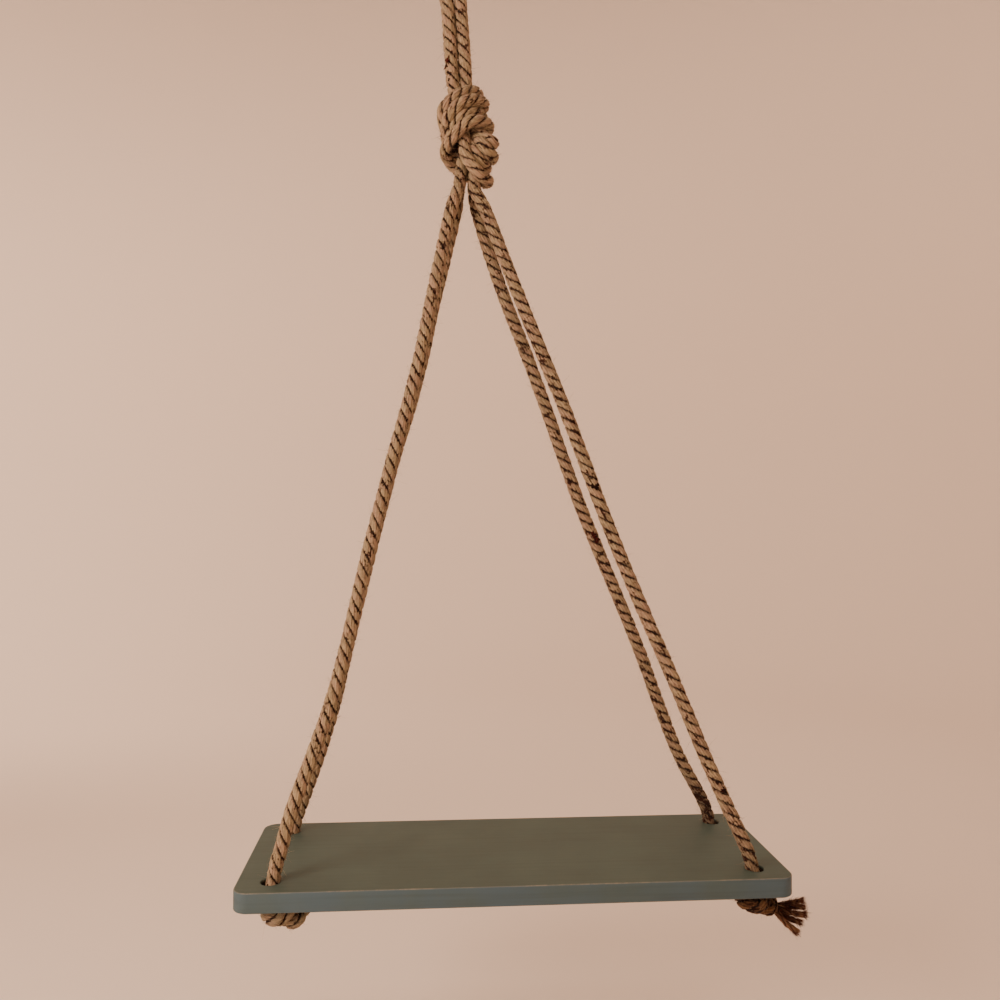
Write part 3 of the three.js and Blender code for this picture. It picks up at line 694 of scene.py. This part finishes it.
def add_laid_rope(parts, rope, start, end, settings, squeeze=1.0):
    """A stretch of rope: three strands laid round each other, each of yarns that turn the other way."""
    count = max(4, int(round((end - start) / settings.step)))
    distance = np.linspace(start, end, count + 1)
    place, _, side, other = rope.stations(distance)
    radius = settings.diameter / 2 * LAID_FULLNESS
    strand_radius, offset = radius * 0.5, radius * 0.5
    first, last = rope.cuts["start_leg"]
    # Painted shade at the right: how far each place's crest value is lowered.
    below, along, foot = PAINTED_SHADE_RIGHT[rope.start]
    dark = along + (foot - along) * np.clip(1.5 - (distance - first) / 0.055, 0, 1)
    dark = np.where(distance < first, below, np.where(distance > last, 0, dark))
    corner = np.arange(YARNS * CORNERS_A_YARN)
    valley = corner % CORNERS_A_YARN == 0
    yarn = corner // CORNERS_A_YARN
    for strand in range(3):
        turn = 2 * np.pi * (strand / 3 - distance / settings.lay)
        out = (np.cos(turn)[:, None] * side + np.sin(turn)[:, None] * other)[:, None]
        round_ = (-np.sin(turn)[:, None] * side + np.cos(turn)[:, None] * other)[:, None]
        swell = 1 + 0.035 * uneven(distance, rope.seed + strand)
        angle = 2 * np.pi * (corner[None] / len(corner) + (distance / settings.yarn_lay)[:, None])
        first_seed = rope.seed + 10 * strand
        each = np.stack([uneven(distance, first_seed + 100 * y, 0.034) for y in range(YARNS)], axis=1)
        relief = np.where(valley[None], 0.90, 1.02 + 0.04 * each[:, yarn])
        rough = 1 + np.random.default_rng(rope.seed + strand).normal(0, 0.022, relief.shape)
        reach = strand_outline(angle, radius, offset) * (squeeze * swell)[:, None] * relief * rough
        centre = place[:, None] + out * (offset * squeeze)
        outwards = np.cos(angle)[..., None] * out + np.sin(angle)[..., None] * round_
        rings = centre + reach[..., None] * outwards
        own = 2 * np.pi * corner / len(corner)
        straight = np.stack([
            np.broadcast_to(strand_radius * np.cos(own) + 0.02 * strand + 0.1 * rope.seed, reach.shape),
            np.broadcast_to(strand_radius * np.sin(own), reach.shape),
            np.broadcast_to(distance[:, None], reach.shape)], axis=-1)
        # The crest value carries painted shade into the colour: it falls towards the rope's middle and in
        # each yarn's valley, and is lowered further on the ropes at the right and in the large knot's darkest
        # hollow.
        from_middle = np.linalg.norm(rings - place[:, None], axis=-1) / (radius * squeeze)
        pocket_shade = np.clip(1.5 - np.linalg.norm(rings - SHADED_POCKET_AT, axis=-1) / SHADED_POCKET_RADIUS, 0, 1)
        crest = from_middle * np.where(valley[None], 0.96, 1.0) - dark[:, None] - 0.5 * pocket_shade
        parts.add_tube(rings, straight, crest)


def add_hairs(parts, draw, roots, ways, lengths, thick, curl=0.6):
    """Loose fibres, each a thin tapering tube of three sides that leaves its root and curls."""
    count = len(roots)
    ways = unit(ways)
    bend = unit(draw.normal(0, 1, (count, 3))) * draw.uniform(0.15, curl, (count, 1))
    share = np.linspace(0, 1, HAIR_RINGS)[None, :, None]
    reach = np.asarray(lengths)[:, None, None]
    places = roots[:, None] + reach * (share * ways[:, None] + share ** 2 * bend[:, None])
    side = unit(np.cross(ways, unit(draw.normal(0, 1, (count, 3)))))
    other = np.cross(ways, side)
    angle = 2 * np.pi * np.arange(3) / 3
    round_ = np.cos(angle)[None, :, None] * side[:, None] + np.sin(angle)[None, :, None] * other[:, None]
    width = thick * draw.uniform(0.6, 1.35, (count, 1, 1, 1)) / 2 * (1 - 0.7 * share[..., None])
    corners = places[:, :, None] + width * round_[:, None]
    tone = np.broadcast_to(draw.uniform(0, 1, (count, 1, 1)), corners.shape[:3])
    parts.add_tubes(corners, corners, tone)


def add_fuzz(parts, rope, start, end, settings, seed, squeeze=1.0, share=1.0):
    """Loose fibres all along a stretch of rope, most of them short and laid along it."""
    draw = np.random.default_rng(seed)
    count = int((end - start) * settings.hairs * share)
    distance = draw.uniform(start, end, count)
    place, ahead, side, other = rope.stations(distance)
    angle = draw.uniform(0, 2 * np.pi, (count, 1))
    out = np.cos(angle) * side + np.sin(angle) * other
    root = place + out * settings.diameter / 2 * squeeze * draw.uniform(0.80, 1.0, (count, 1))
    way = (ahead * draw.choice((-1, 1), (count, 1)) * draw.uniform(0.4, 1.0, (count, 1))
           + out * draw.uniform(0.10, 0.95, (count, 1)) + draw.normal(0, 0.3, (count, 3)))
    length = 0.0018 + settings.hair_length * draw.uniform(0.1, 1.0, count) ** 2.4
    add_hairs(parts, draw, root, way, length, HAIR_THICKNESS)


def add_cut_end(parts, rope, at_start, settings, seed):
    """The short brush of fibres where a rope is cut."""
    draw = np.random.default_rng(seed)
    count = CUT_FIBRES
    distance = np.full(count, 0.0 if at_start else rope.along[-1])
    place, ahead, side, other = rope.stations(distance)
    away = -ahead if at_start else ahead
    angle = draw.uniform(0, 2 * np.pi, (count, 1))
    out = np.cos(angle) * side + np.sin(angle) * other
    root = place + out * settings.diameter / 2 * draw.uniform(0, 0.95, (count, 1)) ** 0.6 - away * 0.0012
    way = away + out * draw.uniform(0, 0.35, (count, 1)) + draw.normal(0, 0.10, (count, 3))
    add_hairs(parts, draw, root, way, draw.uniform(0.0025, 0.0052, count), 0.00055, curl=0.25)


def add_frayed_yarn(parts, hairs, draw, foot, tip, thick, pale, seed):
    """One opened yarn: eight finer ones twisted round its middle, with a brush of fibres at its paler tip."""
    share = np.linspace(0, 1, 15)[:, None]
    ahead = unit(tip - foot)
    side = unit(np.cross(ahead, (0.2, 0.9, 0.3)))
    other = np.cross(ahead, side)
    wave = draw.uniform(0.0004, 0.0010) * np.sin(np.pi * 1.6 * share + draw.uniform(0, 6))
    middle = foot + (tip - foot) * share + side * wave * share
    middle[:, 2] -= 0.001 * np.sin(np.pi * share[:, 0])
    corner = 2 * np.pi * np.arange(7) / 7
    for fine in range(8):
        turn = 2 * np.pi * (fine / 8 + share * draw.uniform(0.55, 0.75))
        spread = thick * (0.30 if fine else 0.0) * (1 + 0.28 * share ** 2)
        centre = middle + spread * (np.cos(turn) * side + np.sin(turn) * other)
        centre = centre + ahead * share ** 3 * draw.uniform(-0.0028, 0.0008)
        reach = thick * 0.205 * (1 - 0.18 * share) * (1 + 0.05 * draw.normal(0, 1, (15, 7)))
        rings = centre[:, None] + reach[..., None] * (np.cos(corner)[None, :, None] * side
                                                      + np.sin(corner)[None, :, None] * other)
        straight = np.stack(np.broadcast_arrays(
            thick * 0.2 * np.cos(corner)[None] + 0.013 * fine + 0.2 * seed,
            thick * 0.2 * np.sin(corner)[None],
            share * np.linalg.norm(tip - foot)), axis=-1)
        # Painted shade: each fine yarn's crest value is lower on its side towards the others; the yarn also
        # grows paler towards its tip.
        inner = np.cos(corner[None] - turn)
        parts.add_tube(rings, straight, 0.55 + pale + 0.27 * share + 0.06 * inner)
    for count, start, length, thickness in ((150, 0.90, 0.0045, 0.00042), (260, 0.10, 0.0062, 0.00034)):
        along = draw.uniform(start, 1.0, (count, 1))
        out = unit(draw.normal(0, 1, (count, 3)))
        out = out - np.sum(out * ahead, axis=1, keepdims=True) * ahead
        root = foot + (tip - foot) * along + out * thick * 0.42
        way = ahead * draw.uniform(0.5, 1.0, (count, 1)) + out * draw.uniform(0.05, 0.5, (count, 1))
        add_hairs(hairs, draw, root, way, length * draw.uniform(0.3, 1.0, count), thickness)


def add_bark(parts, draw, place, up, right, front, height, width):
    """A ragged bit of bark or a tuft: short flat shards that lie over each other on the rope."""
    for _ in range(7):
        lean = draw.uniform(-1.35, 1.35)
        way = unit(up * math.cos(lean) + right * math.sin(lean))
        across = unit(np.cross(front, way))
        middle = place + up * draw.uniform(-0.28, 0.28) * height + right * draw.uniform(-0.28, 0.28) * width
        length = draw.uniform(0.55, 0.95) * height
        share = np.linspace(-0.5, 0.5, 5)[:, None]
        line = middle + way * length * share + front * draw.uniform(-0.0004, 0.0007) * (1 - 4 * share ** 2)
        broad = draw.uniform(0.15, 0.28) * width * (1.05 - 3.4 * share ** 2)
        corner = 2 * np.pi * np.arange(6) / 6
        rings = (line[:, None] + broad[:, None] * (np.cos(corner)[None, :, None] * across
                                                   + 0.45 * np.sin(corner)[None, :, None] * front))
        parts.add_tube(rings, rings, np.full(rings.shape[:2], draw.uniform(0, 1)))


def whole_ropes():
    return [RopeLine(start, end, loop, y, seed + 1) for seed, (start, end, loop, y) in enumerate(ROPES)]


def jute_material(settings):
    return bpy.data.materials.get("laid_jute") or jute_finish(settings, "laid_jute")


def hair_material(settings):
    return bpy.data.materials.get("loose_jute") or fibre_finish(
        "loose_jute", times(settings.light, 1.45), times(settings.warm, 0.55))


def seat(piece, *nodes, slot):
    """A piece that moves with the shelf and stands for its solids."""
    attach(piece, "root")
    if nodes:
        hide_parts(*nodes)


# Operators, one for each piece or group of like pieces.


class SHELF_OT_camera(bpy.types.Operator):
    """Adds the camera, in front of the shelf, a little below its middle and to the board's left"""
    bl_idname = "shelf.camera"
    bl_label = "Camera"

    def execute(self, context):
        settings = context.scene.shelf.stage
        yaw, pitch, roll = (math.radians(degrees) for degrees in CAMERA_TURNS)
        ahead = Vector((math.sin(yaw) * math.cos(pitch), math.cos(yaw) * math.cos(pitch), math.sin(pitch)))
        right = Vector((math.cos(yaw), -math.sin(yaw), 0))
        up = right.cross(ahead)
        level = math.cos(roll) * right + math.sin(roll) * up
        upright = -math.sin(roll) * right + math.cos(roll) * up
        data = bpy.data.cameras.new("camera")
        data.lens = settings.lens
        data.sensor_width = 36.0
        data.clip_start = 0.02
        camera = bpy.data.objects.new("camera", data)
        columns = Matrix((level, upright, -ahead)).transposed().to_4x4()
        camera.matrix_world = Matrix.Translation(CAMERA_AT) @ columns
        context.scene.collection.objects.link(camera)
        context.scene.camera = camera
        return {"FINISHED"}


class SHELF_OT_ropes(bpy.types.Operator):
    """Adds the four legs and the two hanging loops, each a taut length of laid rope"""
    bl_idname = "shelf.ropes"
    bl_label = "Legs and loops"

    def execute(self, context):
        settings = context.scene.shelf.rope
        jute = jute_material(settings)
        for rope in whole_ropes():
            for name, cut in rope.legs_and_loop():
                start, end = rope.cuts[cut]
                parts = MeshParts()
                add_laid_rope(parts, rope, start, end, settings)
                piece = parts.to_object("rope_" + name, jute)
                seat(piece, name, slot="jute")
                path = rope.stations(np.linspace(start, end, 120))[0]
        return {"FINISHED"}


class SHELF_OT_large_knot(bpy.types.Operator):
    """Adds the large knot, tied in all four runs of rope together"""
    bl_idname = "shelf.large_knot"
    bl_label = "Large knot"

    def execute(self, context):
        settings = context.scene.shelf.rope
        parts = MeshParts()
        for rope in whole_ropes():
            for cut in KNOT_CUTS:
                add_laid_rope(parts, rope, *rope.cuts[cut], settings, squeeze=KNOT_SQUEEZE)
        piece = parts.to_object("large_knot", jute_material(settings))
        seat(piece, "top_knot", slot="jute")
        return {"FINISHED"}


class SHELF_OT_stopper_knots(bpy.types.Operator):
    """Adds the stopper knot in each rope's end under the board"""
    bl_idname = "shelf.stopper_knots"
    bl_label = "Stopper knots"

    def execute(self, context):
        settings = context.scene.shelf.rope
        # Darker copies of the jute as painted shade under the board: the knots at the back and front left a
        # little darker, the one at the front right much darker.
        shaded = jute_finish(settings, "jute_shaded", (0.80, 0.86, 0.90))
        brown = jute_finish(settings, "jute_deep_shade", (0.46, 0.33, 0.25))
        for rope in whole_ropes():
            for corner, cut in rope.stoppers():
                parts = MeshParts()
                add_laid_rope(parts, rope, *rope.cuts[cut], settings)
                piece = parts.to_object(f"knot_under_{corner}", brown if corner == "front_right" else shaded)
                seat(piece, f"stopper_{corner}", slot="jute")
        return {"FINISHED"}


class SHELF_OT_frayed_end(bpy.types.Operator):
    """Adds the opened end of the rope at the front right, with its yarns apart"""
    bl_idname = "shelf.frayed_end"
    bl_label = "Frayed end"

    def execute(self, context):
        settings = context.scene.shelf.rope
        rope = whole_ropes()[1]
        root, ahead = rope.places[0], -rope.ahead[0]
        side = unit(np.array((0.0, 0.0, 1.0)) - ahead[2] * ahead)
        other = np.cross(ahead, side)
        draw = np.random.default_rng(41)
        yarns, hairs = MeshParts(), MeshParts()
        for i, (reach, rise, back, thick, pale) in enumerate(FRAYED_YARNS):
            angle = 2 * math.pi * i / len(FRAYED_YARNS)
            foot = root + ahead * 0.0006 + 0.0033 * (math.cos(angle) * side - math.sin(angle) * other)
            tip = root + np.array((reach, back, rise))
            add_frayed_yarn(yarns, hairs, draw, foot, tip, thick, pale, i)
        # The frayed end and its fibres are darker copies of the jute, as painted shade under the board.
        piece = yarns.to_object("frayed_end", jute_finish(settings, "jute_frayed_shade", (0.56, 0.41, 0.34)))
        seat(piece, "tail_front_right", slot="jute")
        brush = hairs.to_object("frayed_end_fibres", fibre_finish(
            "frayed_fibres_shade", (0.115, 0.042, 0.026), settings.dark))
        seat(brush, slot="jute")
        return {"FINISHED"}


class SHELF_OT_loose_fibres(bpy.types.Operator):
    """Adds the hairs that stand off the ropes and the knots, and the brush at each cut end"""
    bl_idname = "shelf.loose_fibres"
    bl_label = "Loose fibres"

    def execute(self, context):
        settings = context.scene.shelf.rope
        material = hair_material(settings)
        knot = MeshParts()
        for rope in whole_ropes():
            for name, cut in rope.legs_and_loop():
                parts = MeshParts()
                add_fuzz(parts, rope, *rope.cuts[cut], settings, rope.seed * 31 + len(name))
                seat(parts.to_object("fibres_" + name, material), slot="jute")
            for corner, cut in rope.stoppers():
                parts = MeshParts()
                add_fuzz(parts, rope, *rope.cuts[cut], settings, rope.seed * 57 + len(corner))
                if corner != "front_right":
                    add_cut_end(parts, rope, corner == rope.start, settings, rope.seed * 71)
                seat(parts.to_object(f"fibres_knot_{corner}", material), slot="jute")
            for cut in KNOT_CUTS:
                add_fuzz(knot, rope, *rope.cuts[cut], settings, rope.seed * 83 + len(cut), KNOT_SQUEEZE, 0.8)
        seat(knot.to_object("fibres_large_knot", material), slot="jute")
        return {"FINISHED"}


class SHELF_OT_bark(bpy.types.Operator):
    """Adds the bits of bark and the dark red tufts that are spun into the ropes"""
    bl_idname = "shelf.bark"
    bl_label = "Bark and tufts"

    def execute(self, context):
        settings = context.scene.shelf.rope
        draw = np.random.default_rng(5)
        ropes = whole_ropes()
        black, red = MeshParts(), MeshParts()
        for rope, distance, across, height, width, is_red in BARK:
            self.add_bit(red if is_red else black, draw, ropes[rope], distance, across, height, width, -1)
        for rope in ropes:
            for distance in draw.uniform(0.2, rope.along[-1] - 0.2, 14):
                size = draw.uniform(0.0016, 0.0046)
                self.add_bit(red if draw.uniform() < 0.3 else black, draw, rope, distance,
                             draw.uniform(-0.004, 0.004), size, size * 0.7, 1)
        bits = black.to_object("bark_bits", fibre_finish("bark", times(settings.bark, 2.2), settings.bark))
        tufts = red.to_object("red_tufts", fibre_finish("red_tuft", times(settings.red, 2.0), settings.bark))
        seat(bits, slot="jute")
        seat(tufts, slot="jute")
        return {"FINISHED"}

    def add_bit(self, parts, draw, rope, distance, across, height, width, facing):
        place, ahead, _, _ = (values[0] for values in rope.stations(np.array([distance])))
        front = np.array((0.0, facing, 0.0))
        front = unit(front - front.dot(ahead) * ahead)
        right = np.array((1.0, 0.0, 0.0))
        right = right - right.dot(ahead) * ahead
        right = unit(right - right.dot(front) * front)
        depth = math.sqrt(max(BARK_RADIUS ** 2 - across ** 2, 0.0))
        out = unit(front * depth + right * across)
        place = place + front * depth + right * across - out * 0.0003
        up = ahead if ahead[2] > 0 else -ahead
        add_bark(parts, draw, place, up, unit(np.cross(out, up)), out, height, width)


class SHELF_OT_board(bpy.types.Operator):
    """Adds the painted board with its rounded corners, eased edges and four holes"""
    bl_idname = "shelf.board"
    bl_label = "Board"

    def execute(self, context):
        settings = context.scene.shelf.board
        curve = bpy.data.curves.new("board_outline", "CURVE")
        curve.dimensions = "2D"
        curve.fill_mode = "BOTH"
        curve.extrude = settings.thickness / 2 - settings.eased
        curve.bevel_depth = settings.eased
        curve.bevel_resolution = 3
        curve.offset = -settings.eased
        self.add_outline(curve, rounded_corners(settings.width / 2, settings.depth / 2, settings.corner))
        x = settings.width / 2 - settings.hole_from_side
        y = settings.depth / 2 - settings.hole_from_front
        for across, away in ((-1, -1), (1, -1), (1, 1), (-1, 1)):
            self.add_outline(curve, circle(across * x, away * y, settings.hole)[::-1])
        outline = bpy.data.objects.new("board_outline", curve)
        mesh = bpy.data.meshes.new_from_object(outline)
        bpy.data.objects.remove(outline)
        middle = Vector(BOARD_AT) - Vector((0, 0, settings.thickness / 2))
        mesh.transform(Matrix.Translation(middle))
        mesh.materials.clear()
        mesh.materials.append(paint_finish(settings, middle))
        mesh.shade_smooth()
        piece = bpy.data.objects.new("painted_board", mesh)
        context.scene.collection.objects.link(piece)
        seat(piece, "board", slot="paint")
        return {"FINISHED"}

    def add_outline(self, curve, places):
        spline = curve.splines.new("POLY")
        spline.points.add(len(places) - 1)
        for point, (x, y) in zip(spline.points, places):
            point.co = (x, y, 0, 1)
        spline.use_cyclic_u = True


def circle(x, y, radius, steps=40):
    return [(x + radius * math.cos(2 * math.pi * i / steps), y + radius * math.sin(2 * math.pi * i / steps))
            for i in range(steps)]


def rounded_corners(half_x, half_y, radius, steps=10):
    places = []
    for quarter, (sx, sy) in enumerate(((1, 1), (-1, 1), (-1, -1), (1, -1))):
        for i in range(steps + 1):
            angle = math.pi / 2 * (quarter + i / steps)
            places.append((sx * (half_x - radius) + radius * math.cos(angle),
                           sy * (half_y - radius) + radius * math.sin(angle)))
    return places


class SHELF_OT_stage(bpy.types.Operator):
    """Adds the plain floor that sweeps up all round, and the soft lamps"""
    bl_idname = "shelf.stage"
    bl_label = "Floor and light"

    def execute(self, context):
        settings = context.scene.shelf.stage
        self.add_floor(context, settings)
        for name, place, target, size, power in LAMPS:
            self.add_lamp(context, name, place, target, size, power, settings.light)
        for i in range(BACKDROP_LAMPS):
            turn = math.radians(360 / BACKDROP_LAMPS * i + 90)
            way = Vector((math.cos(turn), math.sin(turn), 0.0))
            place = way * 0.9 + Vector((0, 0, 1.7))
            target = way * 3.2 + Vector((0, 0, -0.4))
            power = FRONT_POWER if way.y < -0.1 else BACK_POWER
            self.add_lamp(context, f"lamp_backdrop_{i}", place, target, 1.2, power, settings.light)
        world = bpy.data.worlds.new("world")
        world.use_nodes = True
        background = world.node_tree.nodes["Background"]
        background.inputs["Color"].default_value = (*settings.light, 1.0)
        background.inputs["Strength"].default_value = WORLD_STRENGTH
        context.scene.world = world
        return {"FINISHED"}

    def add_floor(self, context, settings):
        profile = [(0.0, 0.0), (FLOOR_FLAT / 2, 0.0), (FLOOR_FLAT, 0.0)]
        for degrees in range(10, 91, 10):
            turn = math.radians(degrees)
            profile.append((FLOOR_FLAT + FLOOR_SWEEP * math.sin(turn),
                            FLOOR_SWEEP - FLOOR_SWEEP * math.cos(turn)))
        profile += [(FLOOR_FLAT + FLOOR_SWEEP, FLOOR_HEIGHT)]
        steps = FLOOR_CORNERS
        places, faces = [], []
        for radius, height in profile:
            for i in range(steps):
                angle = 2 * math.pi * i / steps
                places.append((radius * math.cos(angle), radius * math.sin(angle), height + settings.floor_z))
        for first in range(0, (len(profile) - 1) * steps, steps):
            for i in range(steps):
                j = (i + 1) % steps
                faces.append((first + i, first + j, first + steps + j, first + steps + i))
        mesh = bpy.data.meshes.new("floor")
        mesh.from_pydata(places, [], faces)
        mesh.shade_smooth()
        pale = Finish("pale_floor")
        mesh.materials.append(pale.finish({"Base Color": settings.floor, "Roughness": 0.9}))
        floor = bpy.data.objects.new("floor", mesh)
        context.scene.collection.objects.link(floor)

    def add_lamp(self, context, name, place, target, size, power, colour):
        data = bpy.data.lights.new(name, "AREA")
        data.shape = "DISK"
        data.size = size
        data.energy = power
        data.color = colour
        lamp = bpy.data.objects.new(name, data)
        lamp.visible_camera = False
        lamp.location = place
        lamp.rotation_euler = (Vector(target) - Vector(place)).to_track_quat("-Z", "Y").to_euler()
        context.scene.collection.objects.link(lamp)


class SHELF_PT_panel(bpy.types.Panel):
    """Lists the pieces of the shelf"""
    bl_idname = "SHELF_PT_panel"
    bl_label = "Rope hanging shelf"
    bl_space_type = "VIEW_3D"
    bl_region_type = "UI"
    bl_category = "Shelf"

    def draw(self, context):
        for operator in OPERATORS:
            self.layout.operator(operator.bl_idname)
        for group in ("rope", "board", "stage"):
            settings = getattr(context.scene.shelf, group)
            box = self.layout.box()
            for name in settings.__annotations__:
                box.prop(settings, name)


OPERATORS = (
    SHELF_OT_camera, SHELF_OT_ropes, SHELF_OT_large_knot, SHELF_OT_stopper_knots, SHELF_OT_frayed_end,
    SHELF_OT_loose_fibres, SHELF_OT_bark, SHELF_OT_board, SHELF_OT_stage)
CLASSES = (RopeSettings, BoardSettings, StageSettings, ShelfSettings, *OPERATORS, SHELF_PT_panel)


def register():
    for each in CLASSES:
        bpy.utils.register_class(each)
    bpy.types.Scene.shelf = bpy.props.PointerProperty(type=ShelfSettings)


def unregister():
    del bpy.types.Scene.shelf
    for each in reversed(CLASSES):
        bpy.utils.unregister_class(each)


def main():
    register()
    bpy.ops.shelf.camera()
    bpy.ops.shelf.ropes()
    bpy.ops.shelf.large_knot()
    bpy.ops.shelf.stopper_knots()
    bpy.ops.shelf.frayed_end()
    bpy.ops.shelf.loose_fibres()
    bpy.ops.shelf.bark()
    bpy.ops.shelf.board()
    bpy.ops.shelf.stage()


if __name__ == "__main__":
    main()
